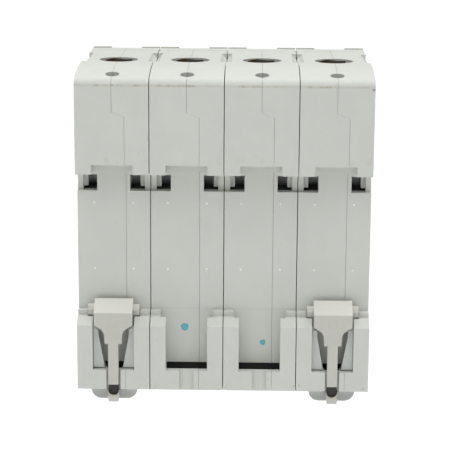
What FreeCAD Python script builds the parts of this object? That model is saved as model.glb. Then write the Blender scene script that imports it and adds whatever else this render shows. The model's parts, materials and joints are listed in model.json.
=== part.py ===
import FreeCAD, Part
import os
import re
import Sketcher

# Four-pole residual current device for a 35 mm top-hat rail.
# Frame: origin in the middle of the rail seat, +X along the rail, +Z up,
# -Y towards the user (toggle side), +Y towards the wall behind the rail.
# Every pole is modelled about its own middle plane and then moved along X.

POLES = (1, 2, 3, 4)
ENDS = {"upper": 1, "lower": -1}

SIZES = {
    # row of modules
    "pole_pitch": 17.5,
    "pole_width": 17.3,
    "side_wall": 1.4,
    "seam_gap": 0.06,
    # depths, measured from the rail seat
    "back_plane": 5.0,
    "shoulder_front": 44.0,
    "cap_front": 60.0,
    "front_wall": 1.5,
    "seat_wall": 1.5,
    # heights, measured from the rail centre
    "top": 40.15,
    "bottom": 40.15,
    "cap_half_height": 22.5,
    "edge_radius": 0.8,
    "rim_radius": 0.4,
    # crowned end faces: flat at the terminals, then an arc down to the rear edge
    "upper_crown_start": 11.3,
    "upper_crown_radius": 65.6,
    "upper_crown_drop": 1.68,
    "upper_crown_end": 3.46,
    "upper_edge_radius": 2.0,
    "upper_edge_drop": 3.63,
    "lower_crown_start": 16.5,
    "lower_crown_radius": 69.6,
    "lower_crown_drop": 3.3,
    "lower_crown_end": 4.7,
    "lower_edge_radius": 0.4,
    "lower_edge_drop": 3.6,
    # joint line between the two half shells
    "seam_offset": 2.95,
    "seam_jog_top": 30.5,
    "seam_jog_bottom": 29.4,
    # marks and steps on the crowned end faces
    "corner_groove_width": 1.55,
    "corner_groove_depth": 1.6,
    "corner_groove_near": 14.0,
    "corner_groove_far": 31.5,
    "seam_pin_place": 37.2,
    "seam_pin_radius": 0.45,
    "front_line": 38.5,
    "front_line_half": 7.0,
    "rim_pad_inner": 3.9,
    "rim_pad_front": 43.6,
    "rim_pad_back": 43.0,
    "rim_pad_height": 0.33,
    # upper rail hook
    "tooth_bottom": 15.72,
    "stop_height": 18.0,
    "flange_slot": 1.4,
    "slot_relief": 0.1,
    "notch_half": 4.9,
    "tongue_half": 3.9,
    "window_bottom": 10.95,
    "window_top": 14.85,
    "window_depth": 8.0,
    "rib_foot": 0.75,
    "outer_rib": 1.3,
    "inner_rib": 2.4,
    # lower shoulder
    "ledge_height": 18.0,
    "ledge_out": 1.7,
    "pillar_top": 19.15,
    "pillar_bevel": 21.0,
    "plate_front": 3.0,
    "pocket_half": 4.97,
    "crossbar_top": 32.0,
    "floor_end": 31.25,
    "groove_half": 1.7,
    "groove_floor": 3.9,
    "channel_half": 6.3,
    "channel_low_half": 5.9,
    "channel_step": 24.0,
    # terminals
    "terminal_height": 31.5,
    "cable_entry_radius": 4.7,
    "cable_entry_depth": 17.7,
    "driver_hole_radius": 3.0,
    "vent_radius": 1.65,
    "vent_out": 1.2,
    "room_top": 38.6,
    "room_floor": 23.0,
    "room_back": 10.6,
    "bar_front": 23.85,
    "bar_thickness": 1.6,
    "bar_half_width": 3.5,
    "cage_half_width": 5.0,
    "cage_inner_half": 3.8,
    "cage_half_height": 5.5,
    "cage_back": 12.0,
    "cage_front": 32.0,
    "cage_web": 1.4,
    "cage_nut": 3.0,
    "screw_radius": 2.5,
    "screw_tip": 24.2,
    "screw_head_radius": 3.4,
    "screw_head_front": 42.2,
    "screw_head_back": 39.4,
    "thread_clearance": 0.05,
    # contact rotor
    "rotor_depth": 20.0,
    "rotor_height": 6.0,
    "rotor_radius": 4.5,
    "rotor_half_length": 33.2,
    "rotor_open_angle": 30.0,
    "running_clearance": 0.08,
    "blade_half_length": 10.0,
    "blade_half_width": 2.6,
    "blade_thickness": 1.2,
    "contact_offset": 8.2,
    "contact_radius": 2.0,
    "contact_thickness": 0.8,
    "contact_gap": 0.05,
    "crank_radius": 9.5,
    "strip_half_width": 3.0,
    # summation transformer and the conductors through it
    "core_depth": 30.0,
    "core_bottom": 17.8,
    "core_height": 6.6,
    "core_inner_radius": 6.4,
    "core_outer_radius": 12.2,
    "winding_wall": 0.7,
    "lane_offset": 1.7,
    "lane_half": 1.1,
    "upper_run": 9.8,
    "lower_run": 20.6,
    "run_thickness": 1.6,
    # toggle and link
    "toggle_depth": 50.5,
    "toggle_angle": 38.0,
    "barrel_radius": 7.0,
    "barrel_half": 4.7,
    "handle_reach": 19.5,
    "axle_radius": 1.5,
    "slot_half_height": 11.0,
    "slot_half_width": 4.75,
    "toggle_crank": 4.0,
    "link_radius": 0.8,
    "link_plane": 6.1,
    # test button
    "button_height": 11.0,
    "button_half": 3.4,
    "button_proud": 1.5,
    "button_clearance": 0.1,
    # indicator
    "flag_depth": 49.0,
    "flag_height": 14.0,
    "flag_radius": 8.4,
    "window_half": 3.0,
    "window_low": 13.2,
    "window_high": 16.4,
    # trip relay and lever
    "relay_front": 46.0,
    "relay_back": 32.0,
    "relay_low": 2.0,
    "relay_high": 14.0,
    "trip_depth": 40.0,
    "trip_height": 17.5,
    "plunger_depth": 36.0,
    # rail clip
    "clip_head_top": 15.15,
    "clip_face": 5.3,
    "clip_face_top": 17.75,
    "clip_head_half": 4.6,
    "ear_half": 6.15,
    "ear_top": 16.5,
    "ear_bottom": 18.9,
    "ear_front": 1.2,
    "ear_back": 2.6,
    "clip_plate_front": 4.1,
    "clip_taper_top": 20.85,
    "clip_neck_half": 2.05,
    "clip_neck_end": 25.35,
    "stem_half": 1.22,
    "stem_end": 35.55,
    "scoop_floor": 4.4,
    "scoop_height": 37.0,
    "scoop_radius": 1.28,
    "tab_half": 1.35,
    "tab_end_half": 1.15,
    "tab_bottom": 39.8,
    "guide_top": 21.4,
    "guide_front": 1.0,
    "guide_back": 2.7,
    "fin_back": 3.6,
    "fin_half": 3.65,
    "fin_end_half": 2.15,
    "lug_half": 5.55,
    "lug_bottom": 39.8,
    "lug_corner": 2.5,
    # rivets
    "rivet_radius": 1.45,
    "rivet_head_radius": 2.5,
    "rivet_head": 0.6,
}

RIVET_PLACES = (("-11", "21.7"), ("-11", "-22"), ("-5", "-26.5"), ("-6", "33.2"), ("-54.6", "-17.2"))

X_AXIS = FreeCAD.Vector(1, 0, 0)
TURN = {
    "x": FreeCAD.Rotation(FreeCAD.Vector(0, 1, 0), 90),
    "y": FreeCAD.Rotation(X_AXIS, -90),
    "z": FreeCAD.Rotation(),
}

doc = FreeCAD.newDocument("residual_current_device")
sheet = doc.addObject("Spreadsheet::Sheet", "Sizes")
for row, (alias, number) in enumerate(SIZES.items(), start=1):
    sheet.set(f"A{row}", alias)
    sheet.set(f"B{row}", str(number))
    sheet.setAlias(f"B{row}", alias)
doc.recompute()

subparts = []


def bound(text):
    """The same expression with every size name looked up in the sheet."""
    names = re.compile(r"[a-z][a-z_]+")
    return names.sub(lambda word: "Sizes." * (word.group(0) in SIZES) + word.group(0), str(text))


def number_of(text):
    """The value of an expression over the sheet's sizes."""
    return float(sheet.evalExpression(str(text)))


def bind(thing, prop, text):
    thing.setExpression(prop, bound(text))


def place(thing, x="0", y="0", z="0", turn=None):
    """Puts a sub-part in the device; turn is an angle about +X."""
    if turn is not None:
        thing.Placement = FreeCAD.Placement(FreeCAD.Vector(), FreeCAD.Rotation(X_AXIS, 1))
        bind(thing, "Placement.Rotation.Angle", turn)
    bind(thing, "Placement.Base.x", x)
    bind(thing, "Placement.Base.y", y)
    bind(thing, "Placement.Base.z", z)


def body(label, kept=True):
    new = doc.addObject("PartDesign::Body", label)
    new.Label = label
    if kept:
        subparts.append(new)
    return new


def box(owner, x_span, y_span, z_span, cut=False):
    kind = "SubtractiveBox" if cut else "AdditiveBox"
    block = owner.newObject(f"PartDesign::{kind}", "Block")
    block.Refine = False
    for prop, axis, (low, high) in zip(("Length", "Width", "Height"), "xyz", (x_span, y_span, z_span)):
        bind(block, prop, f"({high}) - ({low})")
        bind(block, f"Placement.Base.{axis}", low)
    return block


def turned_box(owner, x_span, y_span, z_span, cut=False):
    """A box turned about the local X axis by half the rotor's stroke."""
    block = box(owner, x_span, y_span, z_span, cut)
    block.Placement.Rotation = FreeCAD.Rotation(X_AXIS, number_of("rotor_open_angle / 2"))
    sine = "sin(rotor_open_angle / 2 * 1 deg)"
    cosine = "cos(rotor_open_angle / 2 * 1 deg)"
    bind(block, "Placement.Base.y", f"({y_span[0]}) * {cosine} - ({z_span[0]}) * {sine}")
    bind(block, "Placement.Base.z", f"({y_span[0]}) * {sine} + ({z_span[0]}) * {cosine}")
    return block


def rod(owner, axis, start, length, radius, cut=False):
    kind = "SubtractiveCylinder" if cut else "AdditiveCylinder"
    cylinder = owner.newObject(f"PartDesign::{kind}", "Rod")
    cylinder.Refine = False
    cylinder.Placement = FreeCAD.Placement(FreeCAD.Vector(), TURN[axis])
    bind(cylinder, "Radius", radius)
    bind(cylinder, "Height", length)
    for name, place_text in zip("xyz", start):
        bind(cylinder, f"Placement.Base.{name}", place_text)
    return cylinder


def arc_between(start, end, radius):
    """Short arc from start to end, counterclockwise for a positive radius."""
    if radius < 0:
        start, end = end, start
    chord = end - start
    middle = (start + end) * 0.5
    inward = FreeCAD.Vector(-chord.y, chord.x, 0).normalize()
    rise = (radius * radius - chord.Length * chord.Length / 4) ** 0.5
    circle = Part.Circle(middle + inward * rise, FreeCAD.Vector(0, 0, 1), abs(radius))
    return Part.ArcOfCircle(circle, circle.parameter(start), circle.parameter(end))


def sketch(owner, plane, outline, offset):
    """A closed, fully dimensioned outline; a third item on a point is the radius of the arc it starts."""
    drawing = owner.newObject("Sketcher::SketchObject", "Outline")
    origin = {item.Role: item for item in owner.Origin.OriginFeatures}
    drawing.AttachmentSupport = [(origin[f"{plane}_Plane"], "")]
    drawing.MapMode = "FlatFace"
    bind(drawing, "AttachmentOffset.Base.z", offset)
    corners = [FreeCAD.Vector(number_of(point[0]), number_of(point[1]), 0) for point in outline]
    starts = []
    ends = []
    for index, point in enumerate(outline):
        here = corners[index]
        there = corners[(index + 1) % len(outline)]
        if len(point) == 3:
            radius = number_of(point[2])
            drawing.addGeometry(arc_between(here, there, radius), False)
            starts.append(1 if radius > 0 else 2)
            ends.append(2 if radius > 0 else 1)
        else:
            drawing.addGeometry(Part.LineSegment(here, there), False)
            starts.append(1)
            ends.append(2)
    for index in range(len(outline)):
        following = (index + 1) % len(outline)
        joint = Sketcher.Constraint("Coincident", index, ends[index], following, starts[following])
        drawing.addConstraint(joint)
    for index, point in enumerate(outline):
        for kind, text, number in zip(("DistanceX", "DistanceY"), point, corners[index]):
            constraint = drawing.addConstraint(Sketcher.Constraint(kind, -1, 1, index, starts[index], number))
            bind(drawing, f"Constraints[{constraint}]", text)
        if len(point) == 3:
            radius = abs(number_of(point[2]))
            constraint = drawing.addConstraint(Sketcher.Constraint("Radius", index, radius))
            bind(drawing, f"Constraints[{constraint}]", point[2].lstrip("-"))
    return drawing


def reversed_outline(points):
    """The same open run of points the other way round; each arc stays between its two points."""
    flipped = []
    for index in range(len(points) - 1, -1, -1):
        arc = points[index - 1][2:] if index else ()
        flipped.append(points[index][:2] + arc)
    return flipped


def mirrored_outline(points):
    """A run of points on the right of the middle plane, mirrored to the left and turned round."""
    return [(f"-({point[0]})",) + point[1:] for point in reversed_outline(points)]


def plate(owner, plane, outline, span, cut=False):
    """Pads or pockets an outline over a span along X (YZ plane), Y (XZ plane) or Z (XY plane)."""
    low, high = span
    if plane == "XZ":
        offset = f"-({low})" if cut else f"-({high})"
    else:
        offset = high if cut else low
    drawing = sketch(owner, plane, outline, offset)
    feature = owner.newObject("PartDesign::Pocket" if cut else "PartDesign::Pad", "Plate")
    feature.Profile = drawing
    feature.Refine = False
    bind(feature, "Length", f"({high}) - ({low})")
    drawing.Visibility = False
    return feature


def spring(owner, axis, start, coil_radius, wire_radius, pitch, length):
    """A helical wire along an axis."""
    plane, reference = {"z": ("XZ", "V_Axis"), "y": ("XY", "V_Axis"), "x": ("XY", "H_Axis")}[axis]
    drawing = owner.newObject("Sketcher::SketchObject", "Wire")
    origin = {item.Role: item for item in owner.Origin.OriginFeatures}
    drawing.AttachmentSupport = [(origin[f"{plane}_Plane"], "")]
    drawing.MapMode = "FlatFace"
    across = FreeCAD.Vector(number_of(coil_radius), 0, 0)
    if axis == "x":
        across = FreeCAD.Vector(0, number_of(coil_radius), 0)
    drawing.addGeometry(Part.Circle(across, FreeCAD.Vector(0, 0, 1), number_of(wire_radius)), False)
    helix = owner.newObject("PartDesign::AdditiveHelix", "Coil")
    helix.Profile = drawing
    helix.ReferenceAxis = (drawing, [reference])
    helix.Mode = 0
    bind(helix, "Pitch", pitch)
    bind(helix, "Height", length)
    place(owner, *start)


def gather(label, members):
    """One sub-part that holds several separate identical solids."""
    group = doc.addObject("Part::Compound", label)
    group.Links = members
    group.Label = label
    subparts.append(group)


def pole_centre(pole):
    return f"pole_pitch * ({pole} - 2.5)"


# ---------------------------------------------------------------- housings
def crown(end):
    """One end face, from its rear edge to the foot of the front cap and round the cap's corner."""
    sign = ENDS[end]
    height = {"upper": "top", "lower": "bottom"}[end]
    points = [
        ("back_plane", f"{sign} * ({height} - {end}_edge_drop)", f"{end}_edge_radius"),
        (f"{end}_crown_end", f"{sign} * ({height} - {end}_crown_drop)", f"{end}_crown_radius"),
        (f"-{end}_crown_start", f"{sign} * {height}"),
        ("-shoulder_front + rim_radius", f"{sign} * {height}", "rim_radius"),
        ("-shoulder_front", f"{sign} * ({height} - rim_radius)"),
        ("-shoulder_front", f"{sign} * cap_half_height"),
        ("-cap_front + edge_radius", f"{sign} * cap_half_height", "edge_radius"),
        ("-cap_front", f"{sign} * (cap_half_height - edge_radius)"),
    ]
    return points if sign > 0 else reversed_outline(points)


def pole_outline():
    back = [
        ("back_plane", "-pillar_bevel"),
        ("plate_front", "-pillar_top"),
        ("ledge_out", "-pillar_top"),
        ("ledge_out", "-ledge_height"),
        ("0", "-ledge_height"),
        ("0", "tooth_bottom"),
        ("-slot_relief", "tooth_bottom"),
        ("-slot_relief", "stop_height"),
        ("flange_slot", "stop_height"),
        ("flange_slot", "tooth_bottom"),
        ("back_plane", "tooth_bottom"),
    ]
    return crown("upper") + crown("lower") + back


def cut_rooms(blank):
    inner = ("-pole_width / 2 + side_wall", "pole_width / 2 - side_wall")
    depth_span = ("-shoulder_front + front_wall", "-room_back")
    box(blank, inner, depth_span, ("room_floor", "room_top"), cut=True)
    box(blank, inner, depth_span, ("-room_top", "-room_floor"), cut=True)
    rear_room = [
        ("-9.2", "19.6"),
        ("back_plane - 1.6", "19.6"),
        ("back_plane - 1.6", "35.6"),
        ("-2", "37.6"),
        ("-9.2", "38.5"),
    ]
    plate(blank, "YZ", rear_room, inner, cut=True)
    main_room = [
        ("-cap_front + front_wall", "-cap_half_height + front_wall"),
        ("-seat_wall", "-cap_half_height + front_wall"),
        ("-seat_wall", "window_bottom - 1.55"),
        ("-window_depth - 1.6", "window_bottom - 1.55"),
        ("-window_depth - 1.6", "cap_half_height - front_wall"),
        ("-cap_front + front_wall", "cap_half_height - front_wall"),
    ]
    plate(blank, "YZ", main_room, inner, cut=True)
    bar_pass = ("-bar_front - 0.2", "-bar_front + bar_thickness + 0.2")
    for low, high in (("20", "room_floor + 0.5"), ("-room_floor - 0.5", "-20")):
        box(blank, ("-bar_half_width - 0.2", "bar_half_width + 0.2"), bar_pass, (low, high), cut=True)


def cut_upper_hook(blank):
    """The notch in the hook, and the stepped windows each side of the tongue below it."""
    notch = ("-notch_half", "notch_half")
    box(blank, notch, ("0", "back_plane + 1"), ("tooth_bottom - 1", "stop_height"), cut=True)
    inner = "(pole_width / 2 - inner_rib)"
    outer = "(pole_width / 2 - outer_rib)"
    steps = (
        ("tongue_half", inner, "window_depth", "window_top"),
        (inner, outer, "inner_rib", "window_top"),
        (inner, outer, "window_depth", "window_bottom + rib_foot"),
        (outer, "(pole_width / 2 + 1)", "outer_rib", "window_top"),
    )
    for near, far, depth, roof in steps:
        for span in ((near, far), (f"-{far}", f"-{near}")):
            box(blank, span, (f"-{depth}", "flange_slot"), ("window_bottom", roof), cut=True)


def cut_lower_shoulder(blank):
    pocket = ("-pocket_half", "pocket_half")
    box(blank, pocket, ("0", "back_plane + 1"), ("-crossbar_top", "-15"), cut=True)
    box(blank, ("-groove_half", "groove_half"), ("groove_floor", "back_plane + 1"), ("-45", "-30"), cut=True)
    box(blank, ("-channel_half", "channel_half"), ("0", "plate_front"), ("-channel_step", "-15"), cut=True)
    low_channel = ("-channel_low_half", "channel_low_half")
    box(blank, low_channel, ("0", "plate_front"), ("-45", "-channel_step + 0.01"), cut=True)
    box(blank, pocket, ("-4", "0.01"), ("-37.2", "-floor_end"), cut=True)


def cut_top_details(blank):
    for sign, height in ((1, "top"), (-1, "bottom")):
        entry = (f"{min(sign * 37, sign * 42)}", "5", "cable_entry_radius")
        rod(blank, "z", ("0", "-cable_entry_depth", entry[0]), entry[1], entry[2], cut=True)
        vent = (f"{min(sign * 34, sign * 42)}", "8", "vent_radius")
        rod(blank, "z", ("0", "vent_out", vent[0]), vent[1], vent[2], cut=True)
        driver_start = ("0", "-shoulder_front - 1", f"{sign} * terminal_height")
        rod(blank, "y", driver_start, "front_wall + 1.5", "driver_hole_radius", cut=True)
        for side in (-1, 1):
            corner = f"{side} * pole_width / 2"
            groove = [
                (f"{corner} + {side} * 0.3", f"{sign} * ({height} + 0.3)"),
                (f"{corner} - {side} * corner_groove_width", f"{sign} * ({height} + 0.3)"),
                (f"{corner} + {side} * 0.3", f"{sign} * ({height} - corner_groove_depth)"),
            ]
            plate(blank, "XZ", groove, ("-corner_groove_far", "-corner_groove_near"), cut=True)
            pin_start = (corner, "-seam_pin_place", f"{min(sign * 39, sign * 42)}")
            rod(blank, "z", pin_start, "3", "seam_pin_radius", cut=True)
    line = ("-front_line - 0.15", "-front_line + 0.15")
    box(blank, ("-front_line_half", "front_line_half"), line, ("top - 0.3", "top + 1"), cut=True)
    for span in (("rim_pad_inner", "pole_width / 2"), ("-pole_width / 2", "-rim_pad_inner")):
        box(blank, span, ("-rim_pad_front", "-rim_pad_back"), ("top - 0.5", "top + rim_pad_height"))


def add_bosses(blank):
    for y, z in RIVET_PLACES[2:]:
        rod(blank, "x", ("-pole_width / 2", y, z), "pole_width", "rivet_head_radius + 0.3")
    for y, z in RIVET_PLACES:
        rod(blank, "x", ("-pole_width / 2 - 1", y, z), "pole_width + 2", "rivet_radius + 0.05", cut=True)


def free_box(x_span, y_span, z_span):
    block = doc.addObject("Part::Box", "Block")
    for prop, axis, (low, high) in zip(("Length", "Width", "Height"), "xyz", (x_span, y_span, z_span)):
        bind(block, prop, f"({high}) - ({low})")
        bind(block, f"Placement.Base.{axis}", low)
    return block


def free_rod(axis, start, length, radius):
    cylinder = doc.addObject("Part::Cylinder", "Rod")
    cylinder.Placement = FreeCAD.Placement(FreeCAD.Vector(), TURN[axis])
    bind(cylinder, "Radius", radius)
    bind(cylinder, "Height", length)
    for name, place_text in zip("xyz", start):
        bind(cylinder, f"Placement.Base.{name}", place_text)
    return cylinder


def wall_cutters(pole):
    """Openings in the walls that face a neighbouring pole, and rivet head seats in the two outer walls."""
    cutters = []
    for side, outermost in ((-1, 1), (1, 4)):
        start = "-pole_width / 2 - 1" if side < 0 else "pole_width / 2 - side_wall - 0.5"
        reach = "side_wall + 1.5"
        if pole == outermost:
            head_start = start if side < 0 else "pole_width / 2 - rivet_head - 0.05"
            for y, z in RIVET_PLACES:
                seat = free_rod("x", (head_start, y, z), "rivet_head + 1.05", "rivet_head_radius + 0.05")
                cutters.append(seat)
            continue
        hole = "rotor_radius + running_clearance"
        cutters.append(free_rod("x", (start, "-rotor_depth", "rotor_height"), reach, hole))
        between_middles = (pole, side) in ((2, 1), (3, -1))
        window = ("-44", "-16.5") if between_middles else ("-34", "-26")
        cutters.append(free_box((start, f"{start} + {reach}"), window, ("-lower_run - 0.3", "-7.6")))
        if (pole, side) in ((3, 1), (4, -1)):
            trip_hole = "axle_radius + running_clearance"
            cutters.append(free_rod("x", (start, "-trip_depth", "trip_height"), reach, trip_hole))
    return cutters


def cap_cutters(pole):
    """The openings in the front of the cap, which differ from pole to pole."""
    front = ("-cap_front - 1", "-cap_front + front_wall + 0.1")
    cutters = []
    if pole == 3:
        slot = ("-slot_half_width", "slot_half_width")
        cutters.append(free_box(slot, front, ("-slot_half_height", "slot_half_height")))
        cutters.append(free_box(("-window_half", "window_half"), front, ("window_low", "window_high")))
        for start in ("-pole_width / 2 + 0.3", "pole_width / 2 - side_wall - 0.5"):
            for y, z, radius in (("-toggle_depth", "0", "axle_radius"), ("-flag_depth", "flag_height", "1")):
                bearing = f"{radius} + running_clearance"
                cutters.append(free_rod("x", (start, y, z), "side_wall + 0.2", bearing))
    if pole == 2:
        half = "button_half + button_clearance"
        rise = (f"button_height - ({half})", f"button_height + {half}")
        cutters.append(free_box((f"-({half})", half), front, rise))
    return cutters


def button_rib():
    """Cross wall of pole 2 that the test button's spring stands on."""
    rib = body("button_rib", kept=False)
    box(rib, ("-pole_width / 2 + 0.5", "pole_width / 2 - 0.5"), ("-51.5", "-50.5"), ("6", "16"))
    rod(rib, "y", ("0", "-52", "button_height"), "2", "1.7", cut=True)
    return rib


def seam_tool(side):
    """The space that one half shell may fill, on one side of the stepped joint line."""
    tool = body(f"seam_tool_{side}", kept=False)
    sign = -1 if side == "left" else 1
    gap = f"{sign} * seam_gap / 2"
    outline = [
        (gap, "50"),
        (gap, "seam_jog_top"),
        (f"-seam_offset + {gap}", "seam_jog_bottom"),
        (f"-seam_offset + {gap}", "-50"),
        (f"{sign} * 10", "-50"),
        (f"{sign} * 10", "50"),
    ]
    plate(tool, "XZ", outline, ("-65", "10"))
    return tool


def moulding():
    """What all four poles have in common, before the openings of each one."""
    blank = body("pole_moulding", kept=False)
    plate(blank, "YZ", pole_outline(), ("-pole_width / 2", "pole_width / 2"))
    cut_rooms(blank)
    cut_upper_hook(blank)
    cut_lower_shoulder(blank)
    cut_top_details(blank)
    add_bosses(blank)
    return blank


def combine(kind, label, base, tool):
    result = doc.addObject(f"Part::{kind}", label)
    result.Base = base
    result.Tool = tool
    result.Label = label
    return result


def make_housings():
    tools = {side: seam_tool(side) for side in ("left", "right")}
    common = moulding()
    for pole in POLES:
        openings = doc.addObject("Part::Compound", f"pole_{pole}_openings")
        openings.Links = wall_cutters(pole) + cap_cutters(pole)
        whole = common
        if pole == 2:
            whole = combine("Fuse", "pole_2_with_rib", common, button_rib())
        opened = combine("Cut", f"pole_{pole}_opened", whole, openings)
        for side, tool in tools.items():
            half = combine("Common", f"pole_{pole}_{side}_shell", opened, tool)
            place(half, pole_centre(pole))
            subparts.append(half)


def make_rivets():
    half = "(pole_pitch * 1.5 + pole_width / 2)"
    group = []
    for index, (y, z) in enumerate(RIVET_PLACES, start=1):
        rivet = body(f"rivet_{index}", kept=False)
        rod(rivet, "x", (f"-{half}", y, z), f"2 * {half}", "rivet_radius")
        rod(rivet, "x", (f"-{half}", y, z), "rivet_head", "rivet_head_radius")
        rod(rivet, "x", (f"{half} - rivet_head", y, z), "rivet_head", "rivet_head_radius")
        group.append(rivet)
    gather("rivets", group)


# ---------------------------------------------------------------- rail clips
def make_clip(pole):
    clip = body(f"rail_clip_{pole}")
    right = [
        ("tab_end_half", "-tab_bottom"),
        ("tab_half", "-tab_bottom + 1"),
        ("tab_half", "-scoop_height + 0.35"),
        ("stem_half", "-scoop_height + 0.35"),
        ("stem_half", "-clip_neck_end"),
        ("clip_neck_half", "-clip_neck_end"),
        ("clip_neck_half + 0.1", "-clip_taper_top - 2.2"),
        ("clip_neck_half + 0.6", "-clip_taper_top - 1.2"),
        ("clip_neck_half + 1.5", "-clip_taper_top - 0.55"),
        ("clip_head_half", "-clip_taper_top"),
        ("clip_head_half", "-ear_bottom"),
    ]
    plate(clip, "XZ", right + mirrored_outline(right), ("clip_plate_front", "clip_face"))
    head = [
        ("ear_front", "-clip_head_top"),
        ("ear_front + 0.5", "-clip_head_top"),
        ("clip_face", "-clip_face_top"),
        ("clip_face", "-ear_bottom"),
        ("clip_plate_front", "-ear_bottom"),
        ("clip_plate_front", "-ear_bottom + 1.7"),
        ("ear_back", "-ear_bottom + 1.7"),
        ("ear_back", "-ear_bottom"),
        ("ear_front", "-ear_bottom"),
    ]
    plate(clip, "YZ", head, ("-clip_head_half", "clip_head_half"))
    box(clip, ("-ear_half", "ear_half"), ("ear_front", "ear_back"), ("-ear_bottom", "-ear_top"))
    wide = ("-tab_half - 1", "tab_half + 1")
    box(clip, wide, ("scoop_floor", "clip_face + 1"), ("-scoop_height", "-stem_end"), cut=True)
    rod(clip, "y", ("0", "scoop_floor", "-scoop_height"), "2", "scoop_radius", cut=True)
    place(clip, pole_centre(pole))


def make_guide(pole):
    """V-shaped insert in the lower pocket: it guides the clip's stem and ends in a rounded lug below."""
    guide = body(f"clip_guide_{pole}")
    corner_start = "-lug_bottom + lug_corner"
    right = [
        ("groove_half + 0.05", "-lug_bottom"),
        ("lug_half - lug_corner", "-lug_bottom", "lug_corner"),
        ("lug_half", "-lug_bottom + lug_corner"),
        ("lug_half", "-channel_step - 0.2"),
        ("pocket_half - 0.1", "-channel_step - 0.2"),
        ("pocket_half - 0.1", "-guide_top"),
        ("fin_half", "-guide_top - 0.6"),
        ("fin_half", "-guide_top - 2.2"),
        ("fin_end_half", "-crossbar_top + 0.1"),
        ("groove_half + 0.05", "-crossbar_top - 0.3"),
    ]
    for outline in (right, mirrored_outline(right)):
        plate(guide, "XZ", outline, ("guide_front", "fin_back"))
    bridge_span = ("-groove_half - 1", "groove_half + 1")
    box(guide, bridge_span, ("guide_front", "guide_back"), ("-lug_bottom", "-37.6"))
    box(guide, ("-8", "8"), ("0", "2.85"), ("-channel_step + 0.7", "-15"), cut=True)
    box(guide, ("-8", "8"), ("guide_back", "5"), ("-45", "-crossbar_top + 0.3"), cut=True)
    for side in (-1, 1):
        low, high = sorted((side * 4.87, side * 8))
        box(guide, (f"{low}", f"{high}"), ("guide_back", "5"), ("-34", "-15"), cut=True)
    for side in (-1, 1):
        rod(guide, "y", (f"{side} * 4.35", "fin_back - 0.2", "-22.4"), "0.45", "0.5")
    place(guide, pole_centre(pole))


# ---------------------------------------------------------------- terminals
def make_terminal(pole, end):
    sign = ENDS[end]
    centre = pole_centre(pole)
    height = f"{sign} * terminal_height"
    cage = body(f"terminal_cage_{end}_{pole}")
    tall = ("-cage_half_height", "cage_half_height")
    wide = ("-cage_half_width", "cage_half_width")
    box(cage, wide, ("-cage_front", "-cage_back"), tall)
    inside = ("-cage_inner_half", "cage_inner_half")
    box(cage, inside, ("-cage_front + cage_nut", "-cage_back - cage_web"), ("-9", "9"), cut=True)
    hole = "screw_radius + thread_clearance"
    rod(cage, "y", ("0", "-cage_front - 1", "0"), "cage_nut + 2", hole, cut=True)
    place(cage, centre, "0", height)
    screw = body(f"terminal_screw_{end}_{pole}")
    head_length = "screw_head_front - screw_head_back"
    rod(screw, "y", ("0", "-screw_head_front", "0"), head_length, "screw_head_radius")
    rod(screw, "y", ("0", "-screw_head_back - 0.1", "0"), "screw_head_back - screw_tip + 0.1", "screw_radius")
    slot_depth = ("-screw_head_front - 1", "-screw_head_front + 1.4")
    for length, width in (("4.6", "1"), ("1", "4.6")):
        slot = (f"-{length} / 2", f"{length} / 2")
        box(screw, slot, slot_depth, (f"-{width} / 2", f"{width} / 2"), cut=True)
    place(screw, centre, "0", height)


def make_upper_bar(pole):
    bar = body(f"line_bar_{pole}")
    depth_span = ("-bar_front", "-bar_front + bar_thickness")
    box(bar, ("-bar_half_width", "bar_half_width"), depth_span, ("rotor_height + contact_offset - 2.6", "36"))
    face = "-rotor_depth - blade_thickness / 2 - contact_thickness - contact_gap"
    start = ("0", "-bar_front + bar_thickness - 0.1", "rotor_height + contact_offset")
    rod(bar, "y", start, f"{face} + bar_front - bar_thickness + 0.1", "contact_radius")
    place(bar, pole_centre(pole))


def make_conductor(pole):
    """Load side conductor: contact strip, run to the summation core, drop through it, run back, load bar."""
    conductor = body(f"load_conductor_{pole}")
    centre = pole_centre(pole)
    lane = f"{-1 if pole < 3 else 1} * lane_offset"
    depth = f"-core_depth {'-' if pole in (1, 4) else '+'} lane_offset"
    runs = (f"{depth} - lane_half", f"{depth} + lane_half")
    low, high = (centre, lane) if pole < 3 else (lane, centre)
    run_span = (f"{low} - lane_half", f"{high} + lane_half")
    own_span = (f"{centre} - lane_half", f"{centre} + lane_half")
    upper = ("-upper_run", "-upper_run + run_thickness")
    lower = ("-lower_run", "-lower_run + run_thickness")
    button_face = "-rotor_depth + blade_thickness / 2 + contact_thickness + contact_gap"
    strip_span = ("-rotor_depth + 2.2", "-rotor_depth + 3.8")
    strip_wide = (f"{centre} - strip_half_width", f"{centre} + strip_half_width")
    box(conductor, strip_wide, strip_span, ("-upper_run", "rotor_height - contact_offset + 2.4"))
    button = (centre, button_face, "rotor_height - contact_offset")
    rod(conductor, "y", button, f"-rotor_depth + 2.3 - ({button_face})", "contact_radius")
    box(conductor, own_span, (runs[0], strip_span[1]), upper)
    box(conductor, run_span, runs, upper)
    box(conductor, (f"{lane} - lane_half", f"{lane} + lane_half"), runs, ("-lower_run", "-upper_run + 0.5"))
    box(conductor, run_span, runs, lower)
    box(conductor, own_span, (runs[0], "-bar_front + bar_thickness"), lower)
    wide = (f"{centre} - bar_half_width", f"{centre} + bar_half_width")
    box(conductor, wide, ("-bar_front", "-bar_front + bar_thickness"), ("-36", "-lower_run + run_thickness"))


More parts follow.
